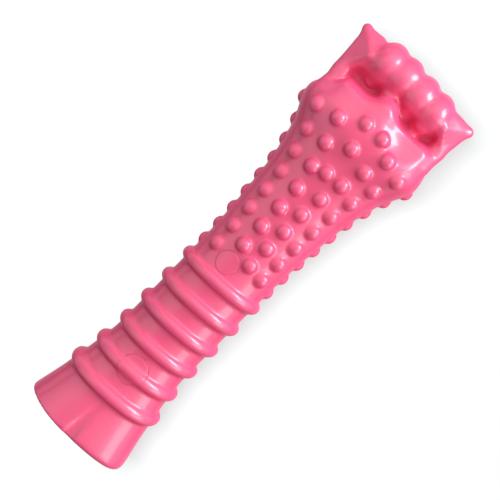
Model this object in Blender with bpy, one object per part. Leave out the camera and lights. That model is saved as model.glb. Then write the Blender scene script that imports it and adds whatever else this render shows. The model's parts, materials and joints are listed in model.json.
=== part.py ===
"""Nylon chew bone: an over-moulded dog chew, lying on its side as it comes to rest.

A bar-shaped core is moulded first. Pins hold it in a second mould while a thick skin with
ribs, studs and a knuckle flows round it, and plugs close the four pin holes afterwards.
The bone is modelled along +X, from its flat butt face to the tips of its toe lobes, with +Y
across it and the mould's parting plane at z = 0. An empty then lays it on the floor.
Lengths are in metres and angles in degrees.
"""

import math
from collections import namedtuple

import bmesh
import bpy
import numpy as np
from mathutils import Euler, Matrix, Vector

# Driving dimensions

# A cross-section of the skin without its ribs and studs: the run from the section before it,
# half its width, half its thickness, and its squareness, where 2 is an ellipse.
Section = namedtuple("Section", "run half_width half_depth squareness")
BUTT = Section(0.0, 0.0187, 0.0162, 3.0)
TAPER = Section(0.0140, 0.0157, 0.0135, 2.5)
GRIP_START = Section(0.0220, 0.0129, 0.0118, 2.1)
GRIP_END = Section(0.0320, 0.0129, 0.0118, 2.1)
SWELL = Section(0.0300, 0.0148, 0.0132, 2.1)
FLARE = Section(0.0140, 0.0179, 0.0152, 2.4)
SHOULDER = Section(0.0115, 0.0223, 0.0176, 3.0)
WAIST = Section(0.0090, 0.0207, 0.0160, 3.0)
TROUGH = Section(0.0055, 0.0207, 0.0100, 3.0)
HEAD = Section(0.0090, 0.0215, 0.0088, 3.0)
OUTLINE = (BUTT, TAPER, GRIP_START, GRIP_END, SWELL, FLARE, SHOULDER, WAIST, TROUGH, HEAD)
BUTT_EDGE_RADIUS = 0.0015

# Half-round ribs round the grip
RIB_COUNT = 6
RIB_PITCH = 0.0090
FIRST_RIB_X = 0.0185
RIB_RADIUS = 0.0026
RIB_HEIGHT = 0.0015

# Round studs on the flare, in rows. A row starts some way short of the shoulder, and its angle
# from the top runs from one value on the grip to another at the shoulder.
STUD_RADIUS = 0.0026
STUD_HEIGHT = 0.0017
StudRow = namedtuple("StudRow", "grip_angle shoulder_angle short pitch count")
SIDE_ROWS = (
    StudRow(90, 90, 0.0545, 0.00636, 9),
    StudRow(-90, -90, 0.0531, 0.00624, 9),
)
FACE_ROWS = (
    StudRow(44.0, 49.0, 0.0520, 0.00705, 8),
    StudRow(12.5, 28.0, 0.0468, 0.0076, 7),
    StudRow(1.0, -1.0, 0.0149, 0.0100, 2),
    StudRow(-14.5, -31.0, 0.0500, 0.0071, 8),
    StudRow(-43.5, -50.0, 0.0509, 0.0069, 8),
)
# Two more studs on each face, just past the shoulder
SHOULDER_STUD_ANGLES = (6.0, -15.0)
SHOULDER_STUD_RUN = 0.0032

# Knuckle: toe lobes across the head's end, each a thick finger
LOBE_COUNT = 4
LOBE_PITCH = 0.0070
LOBE_RADIUS = 0.0042
LOBE_LENGTH = 0.0130
LOBE_REACH = 0.0050
LOBE_HALF_HEIGHT = 0.0130
LOBE_ROW_Y = 0.0006
# A horn at each corner of the head, wrapped over balls: (run past the head's end, run past
# its side, height above the parting plane, radius)
HORN_BALLS = (
    (0.0008, -0.0007, 0.0040, 0.0022),
    (-0.0025, -0.0042, 0.0080, 0.0028),
    (-0.0110, -0.0035, 0.0050, 0.0028),
)
# A tongue of the shoulder that reaches towards the lobes: (x short of the head's end, y, z)
TONGUE_RADIUS = 0.0040
TONGUE_ENDS = ((0.0150, 0.0015, 0.0110), (0.0090, 0.0010, 0.0080))
# A hollow is the track of a ball between two points, each given as its distance short of the
# head's end, its y and its depth below the skin.
Hollow = namedtuple("Hollow", "radius start end")
KNUCKLE_HOLLOWS = (
    Hollow(0.0042, (0.0100, 0.0085, 0.0038), (0.0098, 0.0130, 0.0032)),
    Hollow(0.0034, (0.0090, -0.0050, 0.0028), (0.0106, -0.0145, 0.0028)),
)
# The crease on each face of the butt: (x, y, depth) at both ends
CREASE = Hollow(0.0045, (0.0115, -0.0014, 0.0016), (0.0030, -0.0011, 0.0004))

# Core and plugs
SKIN_WALL = 0.0045
MOULD_GAP = 0.0003
CORE_START_X = 0.0090
CORE_SHORT_OF_HEAD = 0.0230
SHAFT_PLUG_RADIUS = 0.0050
SHAFT_PLUG_RIB = 1
NECK_PLUG_RADIUS = 0.0039
NECK_PLUG_PAST_RIBS = 0.0063
NECK_PLUG_Y = 0.0023

# Facets of the round forms
SKIN_SIDES = 24
SKIN_STEP = 0.0050
CORE_SIDES = 16
CORE_STEP = 0.0060
STUD_SIDES = 8
STUD_RINGS = 6
BALL_SUBDIVISIONS = 2
PLUG_SIDES = 32
BUTT_EDGE_ANGLES = (90, 45)
RIB_FACET_SHARES = (-1.0, -0.6, 0.0, 0.6, 1.0)
SHARP_EDGE_ANGLE = 40
# Steps along and round the skin between which its outward direction is taken
NORMAL_STEP = 0.00001
NORMAL_ANGLE = 1.0

# Colour (linear) and roughness of each moulding
SKIN_FINISH = ((0.84, 0.165, 0.265, 1.0), 0.22)
CORE_FINISH = ((0.78, 0.70, 0.55, 1.0), 0.45)

# Places worked out from the driving dimensions
SECTION_X = np.cumsum([section.run for section in OUTLINE])
HEAD_X = float(SECTION_X[-1])
SHOULDER_X = float(SECTION_X[OUTLINE.index(SHOULDER)])
SWELL_X = float(SECTION_X[OUTLINE.index(SWELL)])
RIB_X = [FIRST_RIB_X + RIB_PITCH * number for number in range(RIB_COUNT)]
CORE_END_X = HEAD_X - CORE_SHORT_OF_HEAD


def smooth_slopes(x, values):
    """Slopes of a smooth curve through the values that never swings past them."""
    steps = np.diff(values) / np.diff(x)
    slopes = np.zeros(len(x))
    for i in range(1, len(x) - 1):
        if steps[i - 1] * steps[i] > 0:
            slopes[i] = 2 * steps[i - 1] * steps[i] / (steps[i - 1] + steps[i])
    slopes[0] = steps[0]
    slopes[-1] = steps[-1]
    return slopes


def section_curve(field):
    """A function of x that runs smoothly through one field of the outline's sections."""
    values = np.array([getattr(section, field) for section in OUTLINE])
    slopes = smooth_slopes(SECTION_X, values)

    def value(x):
        x = min(max(x, 0.0), HEAD_X)
        i = min(int(np.searchsorted(SECTION_X, x, side="right")) - 1, len(OUTLINE) - 2)
        run = SECTION_X[i + 1] - SECTION_X[i]
        t = (x - SECTION_X[i]) / run
        ends = values[i] * (1 + 2 * t) * (1 - t) ** 2 + values[i + 1] * t * t * (3 - 2 * t)
        bends = slopes[i] * t * (1 - t) ** 2 - slopes[i + 1] * t * t * (1 - t)
        return float(ends + run * bends)

    return value


half_width = section_curve("half_width")
half_depth = section_curve("half_depth")
squareness = section_curve("squareness")


def rib_rise(x):
    """How far the nearest rib stands above the skin at x."""
    offset = min(abs(x - rib_x) for rib_x in RIB_X)
    if offset >= RIB_RADIUS:
        return 0.0
    return max(math.sqrt(RIB_RADIUS**2 - offset**2) - (RIB_RADIUS - RIB_HEIGHT), 0.0)


def skin_height(x, y):
    """Height of the plain skin above the parting plane at (x, y)."""
    power = squareness(x)
    return half_depth(x) * (1 - abs(y / half_width(x)) ** power) ** (1 / power)


def skin_point(x, angle):
    """Point of the plain skin at x, at this angle from the top towards +Y."""
    across = math.sin(math.radians(angle))
    up = math.cos(math.radians(angle))
    power = squareness(x)
    level = abs(across / half_width(x)) ** power + abs(up / half_depth(x)) ** power
    reach = level ** (-1 / power)
    return Vector((x, reach * across, reach * up))


def skin_normal(x, angle):
    """Outward direction of the plain skin there."""
    along = skin_point(x + NORMAL_STEP, angle) - skin_point(x - NORMAL_STEP, angle)
    around = skin_point(x, angle + NORMAL_ANGLE) - skin_point(x, angle - NORMAL_ANGLE)
    return along.cross(around).normalized()


def section_ring(x, grow, sides):
    """Points round the section at x, with its half sizes made larger by grow.

    They start half a step round, so that a flat facet lies on top and at the bottom.
    """
    across = half_width(x) + grow
    up = half_depth(x) + grow
    power = 2 / squareness(x)
    ring = []
    for k in range(sides):
        angle = 2 * math.pi * (k + 0.5) / sides
        c = math.cos(angle)
        s = math.sin(angle)
        y = math.copysign(across * abs(c) ** power, c)
        z = math.copysign(up * abs(s) ** power, s)
        ring.append((x, y, z))
    return ring


def loft(rings):
    """Closed mesh through rings of equally many points, with flat ends."""
    bm = bmesh.new()
    loops = [[bm.verts.new(point) for point in ring] for ring in rings]
    sides = len(loops[0])
    for near, far in zip(loops, loops[1:]):
        for k in range(sides):
            after = (k + 1) % sides
            bm.faces.new((near[k], near[after], far[after], far[k]))
    bm.faces.new(loops[0])
    bm.faces.new(loops[-1])
    bmesh.ops.recalc_face_normals(bm, faces=bm.faces)
    return bm


def stations():
    """Places along the bone for the skin's rings, closer together over the ribs."""
    half_base = math.sqrt(RIB_RADIUS**2 - (RIB_RADIUS - RIB_HEIGHT) ** 2)
    places = [rib_x + half_base * share for rib_x in RIB_X for share in RIB_FACET_SHARES]
    plain = np.linspace(BUTT_EDGE_RADIUS, HEAD_X, round(HEAD_X / SKIN_STEP))
    clear = half_base + SKIN_STEP / 4
    places += [x for x in plain if all(abs(x - rib_x) > clear for rib_x in RIB_X)]
    return sorted(places)


def skin_loft():
    """The bone's body with its ribs, from the rounded butt edge to the flat head."""
    rings = []
    for angle in BUTT_EDGE_ANGLES:
        x = BUTT_EDGE_RADIUS * (1 - math.sin(math.radians(angle)))
        inset = BUTT_EDGE_RADIUS * (1 - math.cos(math.radians(angle)))
        rings.append(section_ring(x, -inset, SKIN_SIDES))
    rings += [section_ring(x, rib_rise(x), SKIN_SIDES) for x in stations()]
    return loft(rings)


def core_loft(gap):
    """The core, or with a gap of zero the space that it fills in the skin."""
    places = np.linspace(CORE_START_X, CORE_END_X, round((CORE_END_X - CORE_START_X) / CORE_STEP))
    places[0] += gap
    places[-1] -= gap
    return loft([section_ring(x, -SKIN_WALL - gap, CORE_SIDES) for x in places])


def stud_places():
    """(x, angle) of every stud, those of the lower face mirrored from the upper one."""
    face = [(SHOULDER_X + SHOULDER_STUD_RUN, angle) for angle in SHOULDER_STUD_ANGLES]
    side = []
    for row in FACE_ROWS + SIDE_ROWS:
        for number in range(row.count):
            x = SHOULDER_X - row.short + row.pitch * number
            share = min(max((x - SWELL_X) / (SHOULDER_X - SWELL_X), 0.0), 1.0)
            angle = row.grip_angle + (row.shoulder_angle - row.grip_angle) * share
            (side if row in SIDE_ROWS else face).append((x, angle))
    return side + face + [(x, 180 - angle) for x, angle in face]


def stud_balls():
    """A ball for each stud, sunk so that it stands its height above the skin."""
    bm = bmesh.new()
    for x, angle in stud_places():
        normal = skin_normal(x, angle)
        centre = skin_point(x, angle) - normal * (STUD_RADIUS - STUD_HEIGHT)
        place = Matrix.Translation(centre) @ normal.to_track_quat("Z", "Y").to_matrix().to_4x4()
        bmesh.ops.create_uvsphere(
            bm, u_segments=STUD_SIDES, v_segments=STUD_RINGS, radius=STUD_RADIUS, matrix=place
        )
    return bm


def wrapped(balls):
    """The tightest skin round balls, each given as (centre, radius)."""
    bm = bmesh.new()
    for centre, radius in balls:
        ball = bmesh.new()
        bmesh.ops.create_icosphere(ball, subdivisions=BALL_SUBDIVISIONS, radius=radius)
        for vert in ball.verts:
            bm.verts.new(vert.co + Vector(centre))
        ball.free()
    inside = bmesh.ops.convex_hull(bm, input=bm.verts)["geom_interior"]
    bmesh.ops.delete(bm, geom=inside, context="VERTS")
    return bm


def on_both_faces(balls):
    """The balls, and their mirror images in the parting plane."""
    return balls + [((x, y, -z), radius) for (x, y, z), radius in balls]


def lobes():
    """The row of toe lobes across the end."""
    tip = HEAD_X + LOBE_REACH - LOBE_RADIUS
    back = HEAD_X + LOBE_REACH - LOBE_LENGTH + LOBE_RADIUS
    z = LOBE_HALF_HEIGHT - LOBE_RADIUS
    for number in range(LOBE_COUNT):
        y = LOBE_ROW_Y + LOBE_PITCH * (number - (LOBE_COUNT - 1) / 2)
        yield wrapped(on_both_faces([((x, y, z), LOBE_RADIUS) for x in (back, tip)]))


def horns():
    """The pointed corner on each side of the lobes."""
    for side in (1, -1):
        balls = []
        for past_end, past_side, z, radius in HORN_BALLS:
            y = side * (HEAD.half_width + past_side)
            balls.append(((HEAD_X + past_end, y, z), radius))
        yield wrapped(on_both_faces(balls))


def tongue():
    """The ridge that joins the shoulder to the lobes."""
    ends = [((HEAD_X - short, y, z), TONGUE_RADIUS) for short, y, z in TONGUE_ENDS]
    return wrapped(on_both_faces(ends))


def hollow_cutters():
    """Balls' tracks that hollow the knuckle and crease the butt, on both faces."""
    tracks = [CREASE]
    for hollow in KNUCKLE_HOLLOWS:
        ends = [(HEAD_X - short, y, depth) for short, y, depth in (hollow.start, hollow.end)]
        tracks.append(Hollow(hollow.radius, *ends))
    cutters = []
    for track in tracks:
        for face in (1, -1):
            ends = []
            for x, y, depth in (track.start, track.end):
                ends.append((x, y, face * (skin_height(x, y) - depth + track.radius)))
            cutters.append(wrapped([(end, track.radius) for end in ends]))
    return cutters


def upright_cylinder(x, y, low, high, radius):
    """A round bar along Z."""
    bm = bmesh.new()
    place = Matrix.Translation((x, y, (low + high) / 2))
    bmesh.ops.create_cone(
        bm, cap_ends=True, segments=PLUG_SIDES, radius1=radius, radius2=radius,
        depth=high - low, matrix=place,
    )
    return bm


def make_object(name, bm):
    """A mesh object of that name, shaded smooth apart from its sharp edges."""
    mesh = bpy.data.meshes.new(name)
    bm.to_mesh(mesh)
    bm.free()
    mesh.shade_smooth()
    mesh.set_sharp_from_angle(angle=math.radians(SHARP_EDGE_ANGLE))
    item = bpy.data.objects.new(name, mesh)
    bpy.context.scene.collection.objects.link(item)
    return item


def hide(item):
    """Marks a helper, which is no part of the bone."""
    item.hide_render = True
    item.display_type = "WIRE"
    return item


def helper_group(name, meshes):
    """A collection of hidden helpers, one for each mesh."""
    group = bpy.data.collections.new(name)
    bpy.context.scene.collection.children.link(group)
    for number, bm in enumerate(meshes):
        item = hide(make_object(f"{name}_{number}", bm))
        bpy.context.scene.collection.objects.unlink(item)
        group.objects.link(item)
    return group


def add_boolean(item, operation, other):
    """Adds a Boolean with one object, or with every object of a collection."""
    modifier = item.modifiers.new(operation.lower(), "BOOLEAN")
    modifier.operation = operation
    modifier.solver = "EXACT"
    if isinstance(other, bpy.types.Collection):
        modifier.operand_type = "COLLECTION"
        modifier.collection = other
    else:
        modifier.object = other


def finish(item, name, finish_values):
    """Gives a piece its own moulded finish."""
    colour, roughness = finish_values
    material = bpy.data.materials.new(name)
    material.use_nodes = True
    shader = material.node_tree.nodes["Principled BSDF"]
    shader.inputs["Base Color"].default_value = colour
    shader.inputs["Roughness"].default_value = roughness
    shader.inputs["Metallic"].default_value = 0.0
    item.data.materials.append(material)


def build_form():
    """The bone's whole outer shape as a hidden helper."""
    form = hide(make_object("bone_form", skin_loft()))
    add_boolean(form, "DIFFERENCE", helper_group("hollow", hollow_cutters()))
    add_boolean(form, "UNION", helper_group("knuckle", [*lobes(), *horns(), tongue()]))
    add_boolean(form, "UNION", hide(make_object("stud_balls", stud_balls())))
    return form


def evaluated_mesh(item):
    """The mesh that an object's modifiers give."""
    graph = bpy.context.evaluated_depsgraph_get()
    return bpy.data.meshes.new_from_object(item.evaluated_get(graph))


def plug_places():
    """(name, x, y, radius) of the plugs, which are the same on both faces."""
    return (
        ("shaft_plug", RIB_X[SHAFT_PLUG_RIB], 0.0, SHAFT_PLUG_RADIUS),
        ("neck_plug", RIB_X[-1] + NECK_PLUG_PAST_RIBS, NECK_PLUG_Y, NECK_PLUG_RADIUS),
    )


def plug_seat(x, radius):
    """Height at which a plug's inner end clears the core by the mould gap."""
    return max(half_depth(x - radius), half_depth(x + radius)) - SKIN_WALL


def build_plugs(form):
    """The four plugs, their outer ends shaped as the skin is, and the holes that they fill."""
    above = 2 * max(section.half_depth for section in OUTLINE)
    plugs = []
    holes = []
    for name, x, y, radius in plug_places():
        seat = plug_seat(x, radius)
        for side, face in (("top", 1), ("bottom", -1)):
            low, high = sorted((face * seat, face * above))
            plug = make_object(f"{name}_{side}", upright_cylinder(x, y, low, high, radius))
            add_boolean(plug, "INTERSECT", form)
            plugs.append(plug)
            low, high = sorted((face * seat / 2, face * above))
            holes.append(upright_cylinder(x, y, low, high, radius + MOULD_GAP))
    return plugs, holes


def build_skin(form, holes):
    """The moulded skin, hollow where the core lies and open where the plugs go."""
    skin = bpy.data.objects.new("outer_skin", evaluated_mesh(form))
    bpy.context.scene.collection.objects.link(skin)
    add_boolean(skin, "DIFFERENCE", helper_group("skin_space", [core_loft(0.0)] + holes))
    return skin


def balance_x(points, triangles):
    """Where along X the bone balances."""
    corners = points[triangles]
    volumes = np.linalg.det(corners)
    return float((volumes * corners.sum(axis=1)[:, 0] / 4).sum() / volumes.sum())


def resting_tilt(points, middle):
    """Angle about Y that brings the two lowest points, one on each side of the balance, level."""
    below = []
    for x, z in sorted({(float(x), float(z)) for x, _, z in points}):
        while len(below) > 1:
            (x0, z0), (x1, z1) = below[-2:]
            if (x1 - x0) * (z - z0) > (z1 - z0) * (x - x0):
                break
            below.pop()
        below.append((x, z))
    for (x0, z0), (x1, z1) in zip(below, below[1:]):
        if x0 <= middle <= x1:
            return math.atan2(z1 - z0, x1 - x0)


def rest_pose(skin_shape):
    """An empty that lays the bone on z = 0, with its box centred on the origin."""
    mesh = evaluated_mesh(skin_shape)
    mesh.calc_loop_triangles()
    points = np.array([vert.co for vert in mesh.vertices])
    triangles = np.array([list(triangle.vertices) for triangle in mesh.loop_triangles])
    tilt = resting_tilt(points, balance_x(points, triangles))
    turn = Euler((0, tilt, 0)).to_matrix()
    turned = points @ np.array(turn).T
    low = turned.min(axis=0)
    high = turned.max(axis=0)
    pose = bpy.data.objects.new("rest_pose", None)
    pose.rotation_euler = (0, tilt, 0)
    pose.location = (-(low[0] + high[0]) / 2, -(low[1] + high[1]) / 2, -low[2])
    bpy.context.scene.collection.objects.link(pose)
    butt = [round(value, 6) for value in pose.location]
    outward = [round(value, 6) for value in turn @ Vector((-1, 0, 0))]
    print("Tilt in degrees:", round(math.degrees(tilt), 3), "butt face:", butt, outward)
    return pose


def build_bone():
    """Every piece of the chew bone, laid at rest."""
    for item in list(bpy.data.objects):
        bpy.data.objects.remove(item)
    form = build_form()
    plugs, holes = build_plugs(form)
    skin = build_skin(form, holes)
    core = make_object("inner_core", core_loft(MOULD_GAP))
    finish(skin, "skin_nylon", SKIN_FINISH)
    finish(core, "core_nylon", CORE_FINISH)
    for plug in plugs:
        finish(plug, f"{plug.name}_nylon", SKIN_FINISH)
    pose = rest_pose(form)
    for item in bpy.data.objects:
        if item is not pose:
            item.parent = pose


build_bone()
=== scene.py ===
# %% [markdown]
# # A moulded nylon chew bone
#
# The part is a dog's chew bone: one thick skin of glossy pink nylon with ribs, studs and a
# knuckle, moulded round a plain core, and four round plugs where pins held the core in the mould.
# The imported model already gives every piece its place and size. This script gives them their
# looks: a soft, smooth surface, a nylon finish, and the light and the camera of a product picture.

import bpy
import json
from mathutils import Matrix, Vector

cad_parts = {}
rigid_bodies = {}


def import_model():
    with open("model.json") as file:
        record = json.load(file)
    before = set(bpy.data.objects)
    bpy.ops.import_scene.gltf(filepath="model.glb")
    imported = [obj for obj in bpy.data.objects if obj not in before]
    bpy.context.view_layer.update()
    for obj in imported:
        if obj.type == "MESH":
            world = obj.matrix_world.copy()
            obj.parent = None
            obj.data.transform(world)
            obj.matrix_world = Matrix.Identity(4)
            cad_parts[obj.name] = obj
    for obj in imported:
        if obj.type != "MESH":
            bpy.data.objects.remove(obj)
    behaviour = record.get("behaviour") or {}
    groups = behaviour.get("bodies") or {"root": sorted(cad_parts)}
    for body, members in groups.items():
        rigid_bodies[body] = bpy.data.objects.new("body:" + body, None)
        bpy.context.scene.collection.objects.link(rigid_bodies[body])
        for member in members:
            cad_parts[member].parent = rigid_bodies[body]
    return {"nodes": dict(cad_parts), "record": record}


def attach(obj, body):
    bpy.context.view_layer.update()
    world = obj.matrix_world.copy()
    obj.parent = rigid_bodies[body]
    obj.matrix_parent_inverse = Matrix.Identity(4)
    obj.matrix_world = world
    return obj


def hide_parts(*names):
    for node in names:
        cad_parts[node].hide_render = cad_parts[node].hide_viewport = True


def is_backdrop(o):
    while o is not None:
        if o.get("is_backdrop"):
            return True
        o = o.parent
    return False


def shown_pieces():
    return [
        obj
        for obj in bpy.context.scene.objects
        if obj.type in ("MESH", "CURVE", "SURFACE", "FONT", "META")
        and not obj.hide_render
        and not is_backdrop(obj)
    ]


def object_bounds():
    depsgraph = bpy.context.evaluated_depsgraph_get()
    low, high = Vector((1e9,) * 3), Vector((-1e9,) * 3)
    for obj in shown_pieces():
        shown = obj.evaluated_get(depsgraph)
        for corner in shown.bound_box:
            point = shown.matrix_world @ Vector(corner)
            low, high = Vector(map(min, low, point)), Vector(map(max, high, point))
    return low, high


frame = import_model()
cad_box = [list(corner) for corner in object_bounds()]

import json
import math
from collections import namedtuple

import bmesh
import bpy
import numpy as np
from mathutils import Matrix, Vector
from mathutils.bvhtree import BVHTree

scene = bpy.context.scene
print("Nodes:", sorted(frame["nodes"]))

# %% [markdown]
# ## Where the bone lies
#
# The bone rests a little nose-up on the floor. Modelling it like that would put a slope into every
# formula, so each piece is made along the bone's own axes, in millimetres: X from the flat butt to
# the lobes, Y across, Z up from the mould's parting plane. The butt face is a mount of the part,
# and its point and direction give the matrix that lays a finished mesh down on the floor.

# %% The matrix from the bone's own axes to the floor
MM = 0.001
butt = frame["record"]["mounts"][0]
along = -Vector(butt["axis"])
across = Vector((0, 1, 0))
turn = Matrix((along, across, along.cross(across))).transposed().to_4x4()
lay_down = Matrix.Translation(butt["pos_m"]) @ turn
from_mm = lay_down @ Matrix.Scale(MM, 4)
print("The bone's axis rises by", round(math.degrees(math.asin(along.z)), 2), "degrees")

# %% [markdown]
# ## The camera
#
# The picture was taken from above, close enough for the ribs to bow, with the bone along the
# diagonal. A camera over the middle of the bone, leaning a few degrees towards the knuckle, gives
# the same view. Its lens follows from its distance and from the width that it takes in.

# %% Camera
CAMERA_DISTANCE = 451.0
CAMERA_LEAN = math.radians(4.8)
CAMERA_TURN = math.radians(45.4)
CAMERA_AIM = Vector((75.95, 0.2, 0.0))
PICTURE_WIDTH = 150.3
SENSOR_WIDTH = 36.0
CLIP_START = 0.01


def place_camera():
    """Puts the camera over the bone, with the bone's axis along the picture's diagonal."""
    back = Vector((math.sin(CAMERA_LEAN), 0, math.cos(CAMERA_LEAN)))
    forward = Vector((math.cos(CAMERA_LEAN), 0, -math.sin(CAMERA_LEAN)))
    side = Vector((0, -1, 0))
    right = forward * math.cos(CAMERA_TURN) + side * math.sin(CAMERA_TURN)
    upward = forward * math.sin(CAMERA_TURN) - side * math.cos(CAMERA_TURN)
    stand = Matrix((right, upward, back)).transposed().to_4x4()
    stand.translation = (CAMERA_AIM + back * CAMERA_DISTANCE) * MM
    lens = bpy.data.cameras.new("camera")
    lens.sensor_width = SENSOR_WIDTH
    lens.lens = SENSOR_WIDTH * CAMERA_DISTANCE / PICTURE_WIDTH
    lens.clip_start = CLIP_START
    camera = bpy.data.objects.new("camera", lens)
    camera.matrix_world = lay_down @ stand
    scene.collection.objects.link(camera)
    scene.camera = camera
    print("Camera lens:", round(lens.lens, 1), "mm")


place_camera()

# %% [markdown]
# ## Adding nodes
#
# The bone's shape and its finish are both node trees, so one small helper adds a node: it applies
# the settings, links or fills the inputs in order, and hands back an output for the next node.
# A second helper starts a tree of Geometry Nodes with named inputs and outputs.

# %% Node helpers
MATH = "ShaderNodeMath"
VECTOR = "ShaderNodeVectorMath"
GROUP = "GeometryNodeGroup"


def put(tree, kind, *values, named=None, out=0, **settings):
    """Adds a node with its settings and inputs, and returns one of its outputs."""
    node = tree.nodes.new(kind)
    for name, value in settings.items():
        setattr(node, name, value)
    for key, value in [*enumerate(values), *(named or {}).items()]:
        if isinstance(value, bpy.types.NodeSocket):
            tree.links.new(value, node.inputs[key])
        elif value is not None:
            node.inputs[key].default_value = value
    return node.outputs[out]


def start_tree(name, inputs, output):
    """Starts a geometry tree, and returns it with its input sockets and its one output socket."""
    tree = bpy.data.node_groups.new(name, "GeometryNodeTree")
    for label, value in inputs.items():
        kind = {float: "Float", tuple: "Vector", str: "Material"}.get(type(value), "Geometry")
        socket = tree.interface.new_socket(label, in_out="INPUT", socket_type="NodeSocket" + kind)
        if kind in ("Float", "Vector"):
            socket.default_value = value
    tree.interface.new_socket(output[0], in_out="OUTPUT", socket_type="NodeSocket" + output[1])
    sources = tree.nodes.new("NodeGroupInput").outputs
    sink = tree.nodes.new("NodeGroupOutput").inputs[0]
    return tree, sources, sink


# %% [markdown]
# ## The body: a rule for its sections
#
# Cut across anywhere, the bone is a rounded rectangle whose width, thickness and squareness change
# smoothly from the butt to the head. A loft of rings would give it, but ribs, studs and lobes would
# then meet it in sharp creases, and the real bone has a soft fillet everywhere. So the body is
# written as a distance instead: how far any point in space is from the skin. Distances blend into
# each other with a smooth minimum, which makes the fillets. First come the sections, joined by
# cubic curves that never swing past them.

# %% Sections and the curves between them
Section = namedtuple("Section", "x half_width half_depth squareness")
SECTIONS = (
    Section(0.0, 18.7, 16.2, 2.7),
    Section(14.0, 15.7, 13.5, 2.3),
    Section(36.0, 12.9, 11.8, 2.1),
    Section(68.0, 12.9, 11.8, 2.1),
    Section(98.0, 14.9, 13.2, 2.1),
    Section(112.0, 17.9, 15.2, 2.4),
    Section(123.5, 22.3, 17.6, 3.0),
    Section(129.5, 20.9, 16.4, 3.0),
    Section(131.2, 20.6, 15.9, 3.0),
    Section(132.6, 20.6, 14.0, 3.0),
    Section(134.0, 20.5, 8.4, 3.0),
    Section(135.5, 20.5, 5.7, 3.0),
    Section(136.8, 20.7, 6.8, 2.9),
    Section(139.0, 21.0, 11.0, 2.8),
    Section(141.5, 21.3, 12.2, 2.7),
    Section(144.5, 21.6, 11.6, 2.7),
    Section(147.5, 21.9, 9.4, 2.6),
)
HEAD_X = SECTIONS[-1].x
SWELL_X = SECTIONS[4].x
SHOULDER_X = SECTIONS[6].x


def section_cubics():
    """Rows of (x, run, sizes at the start, and the cubic's three coefficients)."""
    x = np.array([section.x for section in SECTIONS])
    sizes = np.array([section[1:] for section in SECTIONS])
    run = np.diff(x)[:, None]
    rise = np.diff(sizes, axis=0)
    steps = rise / run
    both = steps[:-1] * steps[1:]
    slopes = np.vstack([steps[:1], np.zeros_like(both), steps[-1:]])
    np.divide(2 * both, steps[:-1] + steps[1:], out=slopes[1:-1], where=both > 0)
    first = run * slopes[:-1]
    last = run * slopes[1:]
    return list(zip(x, run[:, 0], sizes, first, 3 * rise - 2 * first - last, first + last - 2 * rise))


CUBICS = section_cubics()


def sizes_at(x):
    """Half width, half depth and squareness of the section at x."""
    start, run, sizes, one, two, three = [row for row in CUBICS if row[0] <= max(x, 0.0)][-1]
    share = min((x - start) / run, 1.0)
    return sizes + share * (one + share * (two + share * three))


def section_tree():
    """The same curves as nodes: half width, half depth and squareness as one vector."""
    tree, sources, sink = start_tree("section_sizes", {"Along": 0.0}, ("Sizes", "Vector"))
    total = tuple(SECTIONS[0][1:])
    for start, run, _, one, two, three in CUBICS:
        share = put(tree, "ShaderNodeMapRange", sources["Along"], start, start + run, 0.0, 1.0)
        bend = put(tree, VECTOR, share, tuple(three), tuple(two), operation="MULTIPLY_ADD")
        bend = put(tree, VECTOR, share, bend, tuple(one), operation="MULTIPLY_ADD")
        total = put(tree, VECTOR, share, bend, total, operation="MULTIPLY_ADD")
    tree.links.new(total, sink)
    return tree


SECTION_TREE = section_tree()
print("Section in the middle of the grip:", np.round(sizes_at(52.0), 2))

# %% [markdown]
# The section itself is a superellipse. Its level is 1 on the skin and grows evenly outwards, so
# dividing by its slope turns it into a distance in millimetres that is right near the skin.

# %% Distance to the plain body
LEAST_LEVEL = 0.001


def body_tree():
    """Distance from a point to the body without ribs, studs and ends."""
    inputs = {"Along": 0.0, "Aside": 0.0, "Height": 0.0}
    tree, sources, sink = start_tree("plain_body", inputs, ("Distance", "Float"))
    sizes = put(tree, GROUP, sources["Along"], node_tree=SECTION_TREE)
    width, depth, power = put(tree, "ShaderNodeSeparateXYZ", sizes).node.outputs
    aside = put(tree, MATH, sources["Aside"], width, operation="DIVIDE")
    height = put(tree, MATH, sources["Height"], depth, operation="DIVIDE")
    side_part = put(tree, MATH, aside, power, operation="POWER")
    height_part = put(tree, MATH, height, power, operation="POWER")
    root = put(tree, MATH, 1.0, power, operation="DIVIDE")
    level = put(tree, MATH, side_part, height_part, operation="ADD")
    level = put(tree, MATH, level, root, operation="POWER")
    level = put(tree, MATH, level, LEAST_LEVEL, operation="MAXIMUM")
    less = put(tree, MATH, power, 1.0, operation="SUBTRACT")
    slopes = []
    for share, size in ((aside, width), (height, depth)):
        part = put(tree, MATH, share, level, operation="DIVIDE")
        part = put(tree, MATH, part, less, operation="POWER")
        slopes.append(put(tree, MATH, part, size, operation="DIVIDE"))
    slope = put(tree, "ShaderNodeCombineXYZ", *slopes)
    slope = put(tree, VECTOR, slope, operation="LENGTH", out="Value")
    over = put(tree, MATH, level, 1.0, operation="SUBTRACT")
    tree.links.new(put(tree, MATH, over, slope, operation="DIVIDE"), sink)
    return tree


BODY_TREE = body_tree()
print("Nodes in the distance to the body:", len(BODY_TREE.nodes))

# %% [markdown]
# ## Fingers: lobes, horns and hollows
#
# The knuckle is a knot of soft bumps and hollows. All of them are made from one shape, a finger:
# the track of a ball that runs from one point to another while its radius changes. Added with a
# smooth minimum a finger is a lobe or a ridge, and taken away with a smooth maximum it is a hollow.
# The bone is the same above and below its parting plane, so heights are measured from that plane
# and each finger is written once.

# %% Distance to a finger
Finger = namedtuple("Finger", "start end start_radius end_radius")


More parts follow.
